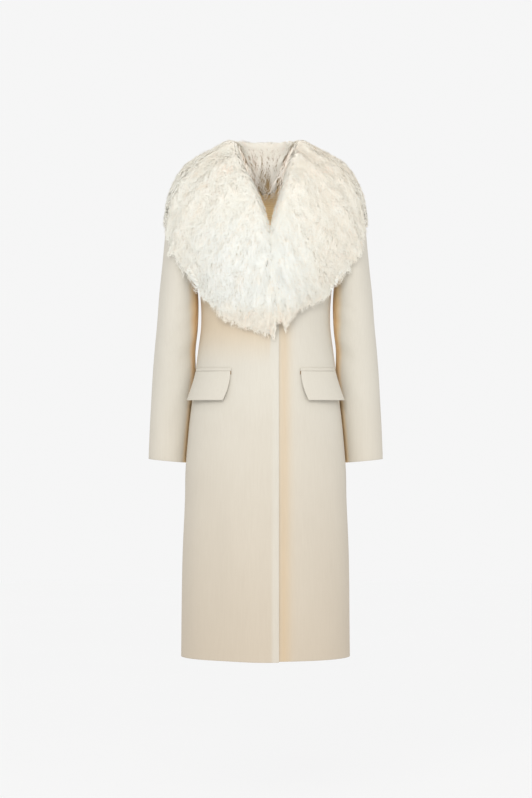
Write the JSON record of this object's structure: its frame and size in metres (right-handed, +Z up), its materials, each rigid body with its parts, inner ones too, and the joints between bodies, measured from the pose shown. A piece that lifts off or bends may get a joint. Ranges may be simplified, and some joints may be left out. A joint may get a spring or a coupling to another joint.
{
  "type": "long coat with a fur shawl collar",
  "caption": "Hollow worn-form long wool coat, concealed front closing, flap pockets and a large curly fur shawl collar.",
  "frame": {"origin": "middle of the neck, level with the side neck points, where the wearer's neck and shoulders hold the coat up", "axes": "+Z up along the body, the front faces -Y, +X towards the wearer's left"},
  "size_m": [0.5532, 0.333, 1.2136],
  "materials": {
    "wool_cloth": "matt, brushed cream wool",
    "curly_fur": "soft, long curly cream-white fur",
    "facing_cloth": "soft tan ribbed cloth"
  },
  "bodies": {
    "root": {"front_left": "wool_cloth", "front_right": "wool_cloth", "back_left": "wool_cloth", "back_right": "wool_cloth", "sleeve_top_left": "wool_cloth", "sleeve_top_right": "wool_cloth", "sleeve_under_left": "wool_cloth", "sleeve_under_right": "wool_cloth", "pocket_flap_left": "wool_cloth", "pocket_flap_right": "wool_cloth", "pocket_welt_left": "wool_cloth", "pocket_welt_right": "wool_cloth", "collar_left": "curly_fur", "collar_right": "curly_fur", "collar_inner": "curly_fur", "neck_facing": "facing_cloth"}
  },
  "joints": []
}
